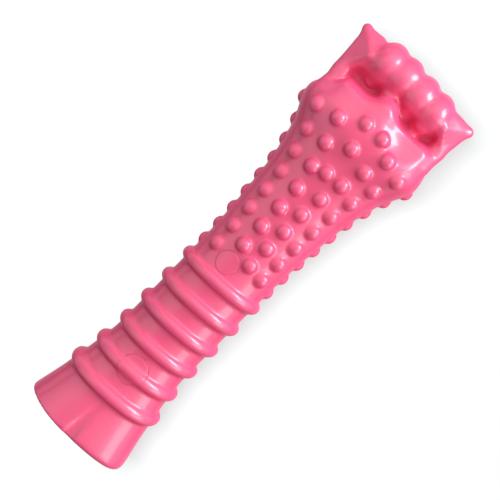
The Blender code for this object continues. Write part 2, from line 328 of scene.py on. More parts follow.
def finger_tree():
    """Distance from a point to a finger."""
    inputs = {"Place": (0.0,) * 3, "Start": (0.0,) * 3, "End": (1.0,) * 3}
    inputs |= {"Start Radius": 1.0, "End Radius": 1.0}
    tree, sources, sink = start_tree("finger", inputs, ("Distance", "Float"))
    run = put(tree, VECTOR, sources["End"], sources["Start"], operation="SUBTRACT")
    off = put(tree, VECTOR, sources["Place"], sources["Start"], operation="SUBTRACT")
    reach = put(tree, VECTOR, off, run, operation="DOT_PRODUCT", out="Value")
    whole = put(tree, VECTOR, run, run, operation="DOT_PRODUCT", out="Value")
    share = put(tree, MATH, reach, whole, operation="DIVIDE", use_clamp=True)
    foot = put(tree, VECTOR, run, share, operation="MULTIPLY")
    gap = put(tree, VECTOR, off, foot, operation="DISTANCE", out="Value")
    radii = (sources["Start Radius"], sources["End Radius"])
    radius = put(tree, "ShaderNodeMapRange", share, 0.0, 1.0, *radii)
    tree.links.new(put(tree, MATH, gap, radius, operation="SUBTRACT"), sink)
    return tree


FINGER_TREE = finger_tree()


def blend_fingers(tree, place, fingers, softness):
    """Adds the distance to several fingers that run softly into each other."""
    nearest = None
    for finger in fingers:
        gap = put(tree, GROUP, place, *finger, node_tree=FINGER_TREE)
        if nearest:
            gap = put(tree, MATH, nearest, gap, softness, operation="SMOOTH_MIN")
        nearest = gap
    return nearest


print("Nodes in the distance to a finger:", len(FINGER_TREE.nodes))

# %% [markdown]
# ## The knuckle
#
# Four toe lobes lie side by side across the head. Each climbs from the hollow behind it to a crown
# and then bends down to the parting plane, so a chain of fingers gives it. A pointed horn stands at
# each corner, and its flat sides are fans of thin fingers from one tip. The last fingers lead from
# the collar, the shoulder's front edge, to the head. They could all be sculpted by hand, but as
# fingers every crown, tip and hollow is one number that can be changed.
# A point is its place along the bone, across it, and above the parting plane, in millimetres.

# %% Toe lobes
LOBE_Y = (9.6, 3.5, -3.6, -10.2)
LOBE_TIP_X = (150.9, 150.9, 150.4, 149.8)
LOBE_BACK_X = (137.4, 137.4, 137.6, 138.2)
LOBE_BACK_TOP = (8.2, 8.4, 8.6, 11.4)
LOBE_RADIUS = 4.4
LOBE_BACK_RADIUS = 2.4
LOBE_CROWN_BACK = 7.8
LOBE_CROWN_TOP = 13.8
LOBE_ARC = 4


def lobe_fingers():
    """Each lobe climbs from its back to a crown, then bends in an arc down to the parting plane."""
    fingers = []
    bend = LOBE_CROWN_BACK - LOBE_RADIUS
    drop = LOBE_CROWN_TOP - LOBE_RADIUS
    turns = [math.radians(90 * step / LOBE_ARC) for step in range(LOBE_ARC + 1)]
    for y, tip, back, top in zip(LOBE_Y, LOBE_TIP_X, LOBE_BACK_X, LOBE_BACK_TOP):
        crown = tip - LOBE_CROWN_BACK
        spots = [(crown + bend * math.sin(turn), y, drop * math.cos(turn)) for turn in turns]
        fingers.append(Finger((back, y, top - LOBE_BACK_RADIUS), spots[0], LOBE_BACK_RADIUS, LOBE_RADIUS))
        fingers += [Finger(start, end, LOBE_RADIUS, LOBE_RADIUS) for start, end in zip(spots, spots[1:])]
    return fingers


print("Fingers in the lobes:", len(lobe_fingers()))

# %% Horns
Horn = namedtuple("Horn", "tip elbow heel waist foot")
HORNS = (
    Horn(
        tip=(147.1, 21.3, 4.6),
        elbow=(141.6, 15.0, 10.8),
        heel=(147.0, 16.0, 5.2),
        waist=(136.2, 18.8, 6.6),
        foot=(146.6, 20.6, 0.0),
    ),
    Horn(
        tip=(146.1, -21.3, 4.6),
        elbow=(141.6, -15.0, 10.8),
        heel=(146.0, -16.0, 5.2),
        waist=(136.2, -18.8, 5.8),
        foot=(145.6, -20.6, 0.0),
    ),
)
HORN_TIP_RADIUS = 0.8
HORN_SIDE_RADIUS = 1.5
HORN_FOOT_RADIUS = 1.6
SHARES_TO_HEEL = (0.0, 0.35, 0.7, 1.0)
SHARES_TO_WAIST = (0.25, 0.5, 0.75, 1.0)


def horn_fingers(horn):
    """Fans of fingers from the horn's tip to the lines elbow-heel and elbow-waist, and one to its foot."""
    elbow = Vector(horn.elbow)
    spots = [elbow.lerp(horn.heel, share) for share in SHARES_TO_HEEL]
    spots += [elbow.lerp(horn.waist, share) for share in SHARES_TO_WAIST]
    fingers = [Finger(horn.tip, tuple(spot), HORN_TIP_RADIUS, HORN_SIDE_RADIUS) for spot in spots]
    fingers.append(Finger(horn.tip, horn.foot, HORN_TIP_RADIUS, HORN_FOOT_RADIUS))
    return fingers


print("Fingers in a horn:", len(horn_fingers(HORNS[0])))

# %% Fingers between the collar and the head, and what is taken away
SHOULDER_FINGERS = (
    # The collar's tongue, then the saddle and the filling between it and the lobes
    Finger((130.0, 1.2, 11.2), (132.6, 0.6, 11.2), 4.5, 4.5),
    Finger((135.5, 2.2, 8.0), (141.5, 3.4, 8.0), 2.8, 2.8),
    Finger((135.5, -1.4, 4.0), (141.5, -1.2, 6.2), 3.2, 3.2),
    # The low bridge behind the fourth lobe
    Finger((134.5, -9.4, 5.8), (139.5, -10.2, 8.0), 2.0, 2.2),
    # Ridges from the collar to the horns, two for each side
    Finger((127.0, 18.0, 8.2), (133.0, 18.2, 6.4), 2.6, 2.4),
    Finger((133.0, 18.2, 6.4), (139.0, 18.4, 4.6), 2.4, 2.2),
    Finger((129.5, -18.2, 8.2), (135.0, -18.4, 5.8), 2.6, 2.4),
    Finger((135.0, -18.4, 5.8), (141.0, -18.6, 4.4), 2.4, 2.2),
    # Fillings of the sides under those ridges
    Finger((127.0, 17.5, 3.8), (135.0, 17.8, 2.4), 2.5, 2.5),
    Finger((132.0, -17.5, 3.0), (139.0, -17.8, 2.0), 2.5, 2.5),
)
# A broad shallow scoop behind the third and the fourth lobe
HOLLOWS = (
    Finger((135.1, -11.8, 26.0), (135.2, -11.9, 26.0), 14.0, 14.0),
)
# A narrow and a wide groove, which make the crease at the butt
CREASE = (
    Finger((-1.0, 1.2, 16.4), (12.0, 0.4, 14.6), 1.2, 0.8),
    Finger((-1.0, -0.1, 17.3), (13.5, -0.5, 15.2), 2.2, 1.7),
)
print("Fingers between collar and head:", len(SHOULDER_FINGERS))

# %% [markdown]
# ## Ribs and studs
#
# Six half-round ribs ring the grip, and rows of round studs cover the flare. Both repeat, so neither
# is modelled one by one. A rib is a circle drawn in the plane of "how far along" and "how far from
# the body", taken for whichever rib is nearest. A stud is a ball round a point, and one Geometry
# Proximity node finds the nearest of all the points. The points sit a little under the skin.

# %% Stud points
StudRow = namedtuple("StudRow", "grip_angle shoulder_angle short pitch count height")
STUD_HEIGHT = 1.9
SIDE_STUD_HEIGHT = 1.3
STUD_ROWS = (
    StudRow(90.0, 90.0, 54.5, 6.36, 9, SIDE_STUD_HEIGHT),
    StudRow(44.0, 49.0, 52.0, 7.05, 8, STUD_HEIGHT),
    StudRow(12.5, 28.0, 46.8, 7.6, 7, STUD_HEIGHT),
    StudRow(1.0, -1.0, 14.9, 10.0, 2, STUD_HEIGHT),
    StudRow(-14.5, -31.0, 50.0, 7.1, 8, STUD_HEIGHT),
    StudRow(-43.5, -50.0, 50.9, 6.9, 8, STUD_HEIGHT),
    StudRow(-90.0, -90.0, 53.1, 6.24, 9, SIDE_STUD_HEIGHT),
)
SHOULDER_STUD_ANGLES = (6.0, -15.0)
SHOULDER_STUD_RUN = 3.2
STUD_RADIUS = 2.5


def skin_point(x, angle):
    """Point of the plain skin at x, at this angle from the top towards +Y."""
    half_width, half_depth, power = sizes_at(x)
    aside = math.sin(math.radians(angle))
    height = math.cos(math.radians(angle))
    level = abs(aside / half_width) ** power + abs(height / half_depth) ** power
    reach = level ** (-1 / power)
    return Vector((x, reach * aside, reach * height))


def stud_centre(x, angle, stud_height):
    """Centre of a stud's ball, which is sunk square to the skin."""
    step = 0.01
    forward = skin_point(x + step, angle) - skin_point(x - step, angle)
    around = skin_point(x, angle + 1) - skin_point(x, angle - 1)
    outward = forward.cross(around).normalized()
    return skin_point(x, angle) - outward * (STUD_RADIUS - stud_height)


def stud_points():
    """The points of all the studs on the upper half."""
    places = [(SHOULDER_X + SHOULDER_STUD_RUN, angle, STUD_HEIGHT) for angle in SHOULDER_STUD_ANGLES]
    for row in STUD_ROWS:
        for number in range(row.count):
            x = SHOULDER_X - row.short + row.pitch * number
            share = min(max((x - SWELL_X) / (SHOULDER_X - SWELL_X), 0.0), 1.0)
            angle = row.grip_angle + (row.shoulder_angle - row.grip_angle) * share
            places.append((x, angle, row.height))
    return [stud_centre(*place) for place in places]


STUD_POINTS = stud_points()
print("Studs on the upper half and the sides:", len(STUD_POINTS))

# %% [markdown]
# ## The whole form
#
# Now the distances are put together: the body with its ribs, cut off at both ends, creased at the
# butt and hollowed at the knuckle, then the fingers of the knuckle, and last the studs. Joining
# finished meshes with Booleans would leave a hard line round each of them. Here each join has a
# softness in millimetres, which is the size of its fillet, and every size is an input of the tree.

# %% Sizes of the form
FORM_SIZES = {
    "Rib Pitch": 9.0,
    "First Rib": 18.5,
    "Last Rib": 63.5,
    "Rib Radius": 2.0,
    "Rib Height": 1.8,
    "Rib Fillet": 1.3,
    "Rib Slant": 0.05,
    "Rib Splay": 0.0015,
    "Stud Radius": STUD_RADIUS,
    "Stud Fillet": 0.7,
    "Butt Sweep": 0.12,
    "Crisp Rim": 0.5,
    "Worn Rim": 4.5,
    "Edge Softness": 3.0,
    "Tongue Reach": 3.0,
    "Crease Softness": 0.7,
    "Hollow Softness": 2.4,
    "Lobe Softness": 2.2,
    "Shoulder Softness": 3.0,
    "Horn Softness": 1.4,
    "Horn Fillet": 2.6,
}
SWEEP_START = 6.0
SWEEP_BEND = 8.0
SPLAY_END = 86.0
TONGUE_Y = 0.6
TONGUE_WIDTH = 3.8
RETREATS = ((3.0, 9.0, 0.6), (14.0, 19.0, 4.4), (-3.0, -8.0, 0.4), (-11.0, -16.0, -0.9))
COLLAR_X = (124.0, 131.0)
RIM_REACH = 12.0
print("Named sizes of the form:", len(FORM_SIZES))

# %% Ribs round the body


def add_ribs(tree, sources, x, y, height, body):
    """Distance to the body with its nearest rib. The ribs slant, and splay towards the butt."""
    shift = put(tree, MATH, y, sources["Rib Slant"], operation="MULTIPLY")
    away = put(tree, MATH, SPLAY_END, x, operation="SUBTRACT")
    splay = put(tree, MATH, away, sources["Rib Splay"], operation="MULTIPLY")
    shift = put(tree, MATH, splay, height, shift, operation="MULTIPLY_ADD")
    x = put(tree, MATH, x, shift, operation="ADD")
    count = put(tree, MATH, x, sources["First Rib"], operation="SUBTRACT")
    count = put(tree, MATH, count, sources["Rib Pitch"], operation="DIVIDE")
    count = put(tree, MATH, count, operation="ROUND")
    rib_x = put(tree, MATH, count, sources["Rib Pitch"], sources["First Rib"], operation="MULTIPLY_ADD")
    rib_x = put(tree, "ShaderNodeClamp", rib_x, sources["First Rib"], sources["Last Rib"])
    off = put(tree, MATH, x, rib_x, operation="SUBTRACT")
    sunk = put(tree, MATH, sources["Rib Radius"], sources["Rib Height"], operation="SUBTRACT")
    above = put(tree, MATH, body, sunk, operation="ADD")
    from_rib = put(tree, "ShaderNodeCombineXYZ", off, above)
    gap = put(tree, VECTOR, from_rib, operation="LENGTH", out="Value")
    rib = put(tree, MATH, gap, sources["Rib Radius"], operation="SUBTRACT")
    return put(tree, MATH, body, rib, sources["Rib Fillet"], operation="SMOOTH_MIN")


# %% Collar, butt and hollows


def bent_collar(tree, sources, x, y):
    """Place along the sections, shifted so that the collar's front edge has a tongue and a retreat."""
    off = put(tree, MATH, y, TONGUE_Y, operation="SUBTRACT")
    off = put(tree, MATH, off, TONGUE_WIDTH, operation="DIVIDE")
    off = put(tree, MATH, off, off, operation="MULTIPLY")
    off = put(tree, MATH, off, -1.0, operation="MULTIPLY")
    bulge = put(tree, MATH, off, operation="EXPONENT")
    tongue = put(tree, MATH, bulge, sources["Tongue Reach"], operation="MULTIPLY")
    shift = put(tree, MATH, tongue, -1.0, operation="MULTIPLY")
    for begin, end, depth in RETREATS:
        step = put(tree, "ShaderNodeMapRange", y, begin, end, 0.0, depth, interpolation_type="SMOOTHSTEP")
        shift = put(tree, MATH, shift, step, operation="ADD")
    share = put(tree, "ShaderNodeMapRange", x, *COLLAR_X, 0.0, 1.0, interpolation_type="SMOOTHSTEP")
    return put(tree, MATH, shift, share, x, operation="MULTIPLY_ADD")


def swept_butt(tree, sources, x, y):
    """Distance to the butt's face, which is flat but for a sweep towards one corner."""
    beyond = put(tree, MATH, y, SWEEP_START, operation="SUBTRACT")
    beyond = put(tree, MATH, beyond, 0.0, SWEEP_BEND, operation="SMOOTH_MAX")
    sweep = put(tree, MATH, beyond, sources["Butt Sweep"], operation="MULTIPLY")
    return put(tree, MATH, sweep, x, operation="SUBTRACT")


def hollow_out(tree, place, body, fingers, softness):
    """Distance to the body with the fingers taken away."""
    hollow = blend_fingers(tree, place, fingers, softness)
    outside = put(tree, MATH, hollow, -1.0, operation="MULTIPLY")
    return put(tree, MATH, body, outside, softness, operation="SMOOTH_MAX")


# %% Distance to the finished form


def form_distance_tree():
    """Distance from a point to the finished form."""
    inputs = {"Place": (0.0,) * 3, "Studs": None} | FORM_SIZES
    tree, sources, sink = start_tree("form_distance", inputs, ("Distance", "Float"))
    x, y, z = put(tree, "ShaderNodeSeparateXYZ", sources["Place"]).node.outputs
    aside = put(tree, MATH, y, operation="ABSOLUTE")
    height = put(tree, MATH, z, operation="ABSOLUTE")
    place = put(tree, "ShaderNodeCombineXYZ", x, y, height)
    bent = bent_collar(tree, sources, x, y)
    form = put(tree, GROUP, bent, aside, height, node_tree=BODY_TREE)
    form = add_ribs(tree, sources, x, y, height, form)
    before = swept_butt(tree, sources, x, y)
    past = put(tree, MATH, x, HEAD_X, operation="SUBTRACT")
    rims = (sources["Worn Rim"], sources["Crisp Rim"])
    rim = put(tree, "ShaderNodeMapRange", y, -RIM_REACH, RIM_REACH, *rims)
    for end, softness in ((before, rim), (past, sources["Edge Softness"])):
        form = put(tree, MATH, form, end, softness, operation="SMOOTH_MAX")
    for fingers, softness in ((CREASE, "Crease Softness"), (HOLLOWS, "Hollow Softness")):
        form = hollow_out(tree, place, form, fingers, sources[softness])
    for fingers, softness, fillet in (
        (SHOULDER_FINGERS, "Shoulder Softness", "Shoulder Softness"),
        (lobe_fingers(), "Lobe Softness", "Lobe Softness"),
        *((horn_fingers(horn), "Horn Softness", "Horn Fillet") for horn in HORNS),
    ):
        gap = blend_fingers(tree, place, fingers, sources[softness])
        form = put(tree, MATH, form, gap, sources[fillet], operation="SMOOTH_MIN")
    studs = sources["Studs"]
    near = put(tree, "GeometryNodeProximity", studs, None, place, target_element="POINTS", out="Distance")
    stud = put(tree, MATH, near, sources["Stud Radius"], operation="SUBTRACT")
    form = put(tree, MATH, form, stud, sources["Stud Fillet"], operation="SMOOTH_MIN")
    tree.links.new(form, sink)
    return tree


FORM_DISTANCE_TREE = form_distance_tree()
print("Nodes in the distance to the form:", len(FORM_DISTANCE_TREE.nodes))

# %% [markdown]
# ## From distance to mesh
#
# A volume samples the distance on a fine grid, and Volume to Mesh draws the surface where it is
# nought. The grid leaves a slight ripple, which a glossy finish would show. A finer grid would only
# make the ripple finer, so each point is moved along the slope of the distance until it lies on the
# true surface.

# %% Moving points on to the form
SLOPE_STEP = 0.02


def settle_tree():
    """Moves each point of a mesh along the distance's slope, on to the true surface."""
    inputs = {"Mesh": None, "Studs": None} | FORM_SIZES
    tree, sources, sink = start_tree("settle_on_form", inputs, ("Mesh", "Geometry"))
    passed = [sources[label] for label in ("Studs", *FORM_SIZES)]
    place = put(tree, "GeometryNodeInputPosition")
    here = put(tree, GROUP, place, *passed, node_tree=FORM_DISTANCE_TREE)
    slopes = []
    for step in np.eye(3) * SLOPE_STEP:
        beside = put(tree, VECTOR, place, tuple(step), operation="ADD")
        there = put(tree, GROUP, beside, *passed, node_tree=FORM_DISTANCE_TREE)
        rise = put(tree, MATH, there, here, operation="SUBTRACT")
        slopes.append(put(tree, MATH, rise, SLOPE_STEP, operation="DIVIDE"))
    slope = put(tree, "ShaderNodeCombineXYZ", *slopes)
    steepness = put(tree, VECTOR, slope, slope, operation="DOT_PRODUCT", out="Value")
    back = put(tree, MATH, here, steepness, operation="DIVIDE")
    back = put(tree, MATH, back, -1.0, operation="MULTIPLY")
    offset = put(tree, VECTOR, slope, back, operation="MULTIPLY")
    tree.links.new(put(tree, "GeometryNodeSetPosition", sources["Mesh"], None, None, offset), sink)
    return tree


SETTLE_TREE = settle_tree()
print("Nodes that settle the points:", len(SETTLE_TREE.nodes))

# %% The tree that makes the form
BOX_LOW = (-2.0, -25.0, -21.0)
BOX_HIGH = (154.0, 25.0, 21.0)
CELL = 0.52
SETTLE_ROUNDS = 2


def form_tree():
    """Stud points in, the bone's whole outer form out."""
    inputs = {"Studs": None, "Cell": CELL, "Finish": "material"} | FORM_SIZES
    tree, sources, sink = start_tree("bone_form", inputs, ("Mesh", "Geometry"))
    passed = [sources[label] for label in ("Studs", *FORM_SIZES)]
    place = put(tree, "GeometryNodeInputPosition")
    distance = put(tree, GROUP, place, *passed, node_tree=FORM_DISTANCE_TREE)
    density = put(tree, MATH, 1.0, distance, operation="SUBTRACT")
    counts = []
    for low, high in zip(BOX_LOW, BOX_HIGH):
        counts.append(put(tree, MATH, high - low, sources["Cell"], operation="DIVIDE"))
    volume = put(tree, "GeometryNodeVolumeCube", density, 0.0, BOX_LOW, BOX_HIGH, *counts)
    mesh = put(tree, "GeometryNodeVolumeToMesh", volume, named={"Threshold": 1.0, "Adaptivity": 0.0})
    for _ in range(SETTLE_ROUNDS):
        mesh = put(tree, GROUP, mesh, *passed, node_tree=SETTLE_TREE)
    mesh = put(tree, "GeometryNodeRealizeInstances", mesh)
    mesh = put(tree, "GeometryNodeSetMaterial", mesh, None, sources["Finish"])
    tree.links.new(mesh, sink)
    return tree


FORM_TREE = form_tree()
print("Inputs of the form tree:", len(FORM_TREE.interface.items_tree) - 1)

# %% [markdown]
# ## The finish: moulded nylon
#
# The bone is injection-moulded nylon, dyed right through. Fresh from a polished mould it is glossy,
# a little translucent, and not quite even: the surface ripples very slightly where the melt cooled,
# and the dye clouds. A thin clear film on the shader stands for the polished outer layer and draws
# the sharp white highlights. The gloss is full where the surface faces the eye and fades towards the
# outline, because there it would mirror the white floor in pale bands that the bone doesn't show.
# One tree makes both nylons, the pink one and the undyed one of the core, from two colours, a range
# of roughness and a share of translucency. Patterns are sized in millimetres.

# %% Colours


def linear(hex_colour):
    """An sRGB hex value as linear red, green, blue and alpha."""
    parts = [int(hex_colour[i:i + 2], 16) / 255 for i in (1, 3, 5)]
    return tuple(p / 12.92 if p <= 0.04045 else ((p + 0.055) / 1.055) ** 2.4 for p in parts) + (1.0,)


PINK = "#e2517a"
CLOUDED_PINK = "#dd4b75"
UNDYED = "#e6dac2"
CLOUDED_UNDYED = "#dccdb0"
PAPER = "#7d8484"
WHITE = "#ffffff"
print("Pink in linear light:", [round(part, 3) for part in linear(PINK)[:3]])

# %% Nylon
NYLON_IOR = 1.53
SHINE = 0.85
RIM_SHINE = 0.05
FILM = 0.6
FILM_ROUGHNESS = 0.1
GLOSS_FADE = (0.22, 0.5)
CLOUD_MM = 14.0
CLOUD_DETAIL = 3.0
CLOUD_RANGE = (0.3, 0.7)
RIPPLE_MM = 4.0
RIPPLE_DETAIL = 1.0
RIPPLE_DEPTH_MM = 0.05
SCATTER_MM = 1.5
SCATTER_COLOURS = (1.0, 0.35, 0.4)


def moulded_nylon(name, plain, clouded, smoothest, roughest, translucent):
    """Nylon from a polished mould: translucent, with clouded dye, uneven gloss and a faint ripple."""
    material = bpy.data.materials.new(name)
    material.use_nodes = True
    tree = material.node_tree
    shader = tree.nodes["Principled BSDF"]
    place = put(tree, "ShaderNodeTexCoord", out="Object")
    cloud_size = {"Scale": 1 / (CLOUD_MM * MM), "Detail": CLOUD_DETAIL}
    cloud = put(tree, "ShaderNodeTexNoise", place, named=cloud_size)
    mixed = {0: cloud, 6: linear(plain), 7: linear(clouded)}
    colour = put(tree, "ShaderNodeMix", data_type="RGBA", out=2, named=mixed)
    roughness = put(tree, "ShaderNodeMapRange", cloud, *CLOUD_RANGE, smoothest, roughest)
    facing = put(tree, "ShaderNodeLayerWeight", named={"Blend": 0.5}, out="Facing")
    shine = put(tree, "ShaderNodeMapRange", facing, *GLOSS_FADE, SHINE, RIM_SHINE)
    film = put(tree, "ShaderNodeMapRange", facing, *GLOSS_FADE, FILM, 0.0)
    ripple_size = {"Scale": 1 / (RIPPLE_MM * MM), "Detail": RIPPLE_DETAIL}
    ripple = put(tree, "ShaderNodeTexNoise", place, named=ripple_size)
    depth = {"Strength": 1.0, "Distance": RIPPLE_DEPTH_MM * MM, "Height": ripple}
    bump = put(tree, "ShaderNodeBump", named=depth)
    tree.links.new(colour, shader.inputs["Base Color"])
    tree.links.new(roughness, shader.inputs["Roughness"])
    tree.links.new(shine, shader.inputs["Specular IOR Level"])
    tree.links.new(film, shader.inputs["Coat Weight"])
    tree.links.new(bump, shader.inputs["Coat Normal"])
    tree.links.new(bump, shader.inputs["Normal"])
    shader.inputs["Coat Roughness"].default_value = FILM_ROUGHNESS
    shader.inputs["IOR"].default_value = NYLON_IOR
    shader.inputs["Subsurface Weight"].default_value = translucent
    shader.inputs["Subsurface Radius"].default_value = SCATTER_COLOURS
    shader.inputs["Subsurface Scale"].default_value = SCATTER_MM * MM
    return material


PINK_NYLON = moulded_nylon(
    "moulded_pink_nylon", PINK, CLOUDED_PINK, smoothest=0.34, roughest=0.42, translucent=0.1
)
CORE_NYLON = moulded_nylon(
    "moulded_undyed_nylon", UNDYED, CLOUDED_UNDYED, smoothest=0.38, roughest=0.5, translucent=0.2
)
print("Materials:", PINK_NYLON.name, "and", CORE_NYLON.name)

# %% [markdown]
# ## The form as a plain mesh
#
# The form tree runs as a modifier on an object that holds only the stud points. Its result is
# copied out as a plain mesh, still in millimetres along the bone's own axes, because the cuts need
# real faces. The mesh comes with an empty material slot before the nylon's, and faces that a cut
# makes later would take it, so that slot is dropped.

# %% The form as a mesh


def plain_mesh(item):
    """The mesh that an object's modifiers give."""
    graph = bpy.context.evaluated_depsgraph_get()
    return bpy.data.meshes.new_from_object(item.evaluated_get(graph))


def build_form():
    """Runs the form tree on the stud points, and returns the mesh in the bone's own millimetres."""
    points = bpy.data.meshes.new("stud_points")
    points.from_pydata(STUD_POINTS, [], [])
    item = bpy.data.objects.new("bone_form", points)
    scene.collection.objects.link(item)
    modifier = item.modifiers.new("form", "NODES")
    modifier.node_group = FORM_TREE
    values = {"Cell": CELL, "Finish": PINK_NYLON} | FORM_SIZES
    for socket in FORM_TREE.interface.items_tree:
        if socket.name in values:
            modifier[socket.identifier] = values[socket.name]
    mesh = plain_mesh(item)
    mesh.materials.pop(index=0)
    bpy.data.objects.remove(item)
    return mesh


form_mesh = build_form()
print("Form:", len(form_mesh.vertices), "points,", len(form_mesh.polygons), "faces")

# %% [markdown]
# ## Plugs
#
# Pins held the core while the skin was moulded, and a plug closes each pin hole. A plug's outer
# face follows the form, rib included, and stands a hair proud with a rounded rim: that is the thin
# ring that shows. A slice cut from the form would give no rounded rim, so each plug is a set of rings
# whose points are dropped on to the form's mesh.

# %% Where the plugs sit
Plug = namedtuple("Plug", "node x y radius hole_radius")
RIB_PITCH = FORM_SIZES["Rib Pitch"]
PLUGS = (
    Plug("shaft_plug", FORM_SIZES["First Rib"] + RIB_PITCH - 0.4, 0.0, 4.65, 4.67),
    Plug("neck_plug", FORM_SIZES["Last Rib"] + 6.1, 2.3, 3.65, 3.67),
)


def plug_seat(plug):
    """Height of the plug's inner end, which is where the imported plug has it."""
    back = from_mm.inverted()
    corners = frame["nodes"][plug.node + "_top"].data.vertices
    return min((back @ vertex.co).z for vertex in corners)


print("Inner ends of the plugs in mm:", [round(plug_seat(plug), 2) for plug in PLUGS])

# %% Plug meshes
PLUG_RIM = 0.2
PLUG_RIM_TURNS = (22.5, 45.0, 67.5, 90.0)
PLUG_PROUD = 0.15
PLUG_SIDES = 64
PLUG_RING_STEP = 0.6
ABOVE_FORM = 40.0
form_finder = BVHTree.FromPolygons(
    [vertex.co for vertex in form_mesh.vertices], [polygon.vertices for polygon in form_mesh.polygons]
)


def plug_rings(plug):
    """(radius, drop below the proud face) of the rings from the middle to the rim."""
    flat = plug.radius - PLUG_RIM
    rings = [(radius, 0.0) for radius in np.linspace(0, flat, round(flat / PLUG_RING_STEP))[1:]]
    for angle in np.radians(PLUG_RIM_TURNS):
        rings.append((flat + PLUG_RIM * math.sin(angle), PLUG_RIM * (1 - math.cos(angle))))
    return rings


def plug_mesh(plug, face):
    """The plug on the upper (1) or the lower (-1) face."""
    seat = plug_seat(plug)
    bm = bmesh.new()

    def dropped(x, y, drop):
        top = form_finder.ray_cast(Vector((x, y, ABOVE_FORM)), Vector((0, 0, -1)))[0].z
        return bm.verts.new((x, y, face * (top + PLUG_PROUD - drop)))

    middle = dropped(plug.x, plug.y, 0.0)
    loops = []
    turns = [2 * math.pi * k / PLUG_SIDES for k in range(PLUG_SIDES)]
    for radius, drop in plug_rings(plug):
        spots = [(plug.x + radius * math.cos(turn), plug.y + radius * math.sin(turn)) for turn in turns]
        loops.append([dropped(x, y, drop) for x, y in spots])
    loops.append([bm.verts.new((vert.co.x, vert.co.y, face * seat)) for vert in loops[-1]])
    for near, far in zip(loops, loops[1:]):
        for k in range(PLUG_SIDES):
            after = (k + 1) % PLUG_SIDES
            bm.faces.new((near[k], near[after], far[after], far[k]))
    for k in range(PLUG_SIDES):
        bm.faces.new((middle, loops[0][k], loops[0][(k + 1) % PLUG_SIDES]))
    bm.faces.new(loops[-1])
    bmesh.ops.recalc_face_normals(bm, faces=bm.faces)
    mesh = bpy.data.meshes.new(plug.node)
    bm.to_mesh(mesh)
    bm.free()
    return mesh


print("Rings in each plug:", [len(plug_rings(plug)) for plug in PLUGS])

# %% [markdown]
# ## The skin
#
# The skin is the whole form with a space for the core and with the pin holes taken out. Those cuts
# are crisp, so they are Booleans on the finished mesh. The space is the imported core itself, grown
# by the mould gap, so that the two always fit. The form is first flattened where it would leave the
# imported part's height, so that the bone rests on small facets. A cut that grazes an edge can leave
# faces without area, and those are cleared at the end.

# %% Shapes to cut away
MOULD_GAP = 0.0003
WELD = MOULD_GAP / 100
HOLE_TOP = 30.0


def shown(name, mesh):
    """An object of that name in the scene."""
    item = bpy.data.objects.new(name, mesh)
    scene.collection.objects.link(item)
    return item


def core_space():
    """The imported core's shape, grown by the mould gap."""
    bm = bmesh.new()
    bm.from_mesh(frame["nodes"]["inner_core"].data)
    bmesh.ops.remove_doubles(bm, verts=bm.verts, dist=WELD)
    bm.normal_update()
    for vert in bm.verts:
        vert.co += vert.normal * MOULD_GAP
    mesh = bpy.data.meshes.new("core_space")
    bm.to_mesh(mesh)
    bm.free()
    return mesh


def pin_hole(plug, face):
    """A round bar that cuts a plug's hole into the core's space."""
    bm = bmesh.new()
    low = plug_seat(plug) / 2
    place = Matrix.Translation((plug.x, plug.y, face * (low + HOLE_TOP) / 2))
    bmesh.ops.create_cone(
        bm, cap_ends=True, segments=PLUG_SIDES, radius1=plug.hole_radius, radius2=plug.hole_radius,
        depth=HOLE_TOP - low, matrix=from_mm @ place,
    )
    mesh = bpy.data.meshes.new("pin_hole")
    bm.to_mesh(mesh)
    bm.free()
    return mesh


# %% Cutting the skin
SLIVER = 0.000001
SHARP_EDGE = math.radians(62)


def rest_flat(mesh):
    """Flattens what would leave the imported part's height, so that the bone rests on a facet."""
    places = np.empty(3 * len(mesh.vertices), np.float32)
    mesh.vertices.foreach_get("co", places)
    places[2::3] = np.clip(places[2::3], cad_box[0][2], cad_box[1][2])
    mesh.vertices.foreach_set("co", places)
    mesh.update()


def clear_slivers(mesh):
    """Removes the faces without area that a cut leaves where it grazes an edge."""
    bm = bmesh.new()
    bm.from_mesh(mesh)
    bmesh.ops.remove_doubles(bm, verts=bm.verts, dist=SLIVER)
    bmesh.ops.dissolve_degenerate(bm, dist=SLIVER, edges=bm.edges)
    loose = sum(not edge.is_manifold for edge in bm.edges)
    print("Edges of the skin that do not join two faces:", loose)
    bm.to_mesh(mesh)
    bm.free()


def cut_skin():
    """The skin, with its space and its holes."""
    mesh = form_mesh.copy()
    mesh.transform(from_mm)
    rest_flat(mesh)
    skin = shown("chew_skin", mesh)
    cutters = [shown("core_space", core_space())]
    for plug in PLUGS:
        for face in (1, -1):
            cutters.append(shown("pin_hole", pin_hole(plug, face)))
    for cutter in cutters:
        modifier = skin.modifiers.new("cut", "BOOLEAN")
        modifier.operation = "DIFFERENCE"
        modifier.solver = "MANIFOLD"
        modifier.object = cutter
    result = plain_mesh(skin)
    clear_slivers(result)
    skin.modifiers.clear()
    skin.data = result
    for cutter in cutters:
        bpy.data.objects.remove(cutter)
    return skin


def smooth(item):
    """Shades a piece smooth, apart from its cut edges."""
    item.data.shade_smooth()
    item.data.set_sharp_from_angle(angle=SHARP_EDGE)


skin = cut_skin()
smooth(skin)
triangles = sum(len(polygon.vertices) - 2 for polygon in skin.data.polygons)
print("Skin:", triangles, "triangles")

# %% [markdown]
# ## The pieces on their body
#
# The bone has no joint, so every piece rides on the one root body. The skin and the plugs take the
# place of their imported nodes. The core is never seen, so a finer mesh would gain nothing: its packed
# mesh stays and only gets its nylon.

# %% Pieces on their body


def finish_piece(item, slot, *nodes):
    """Says what a piece rides on and what it stands for; its slot is not used."""
    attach(item, "root")
    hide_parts(*nodes)


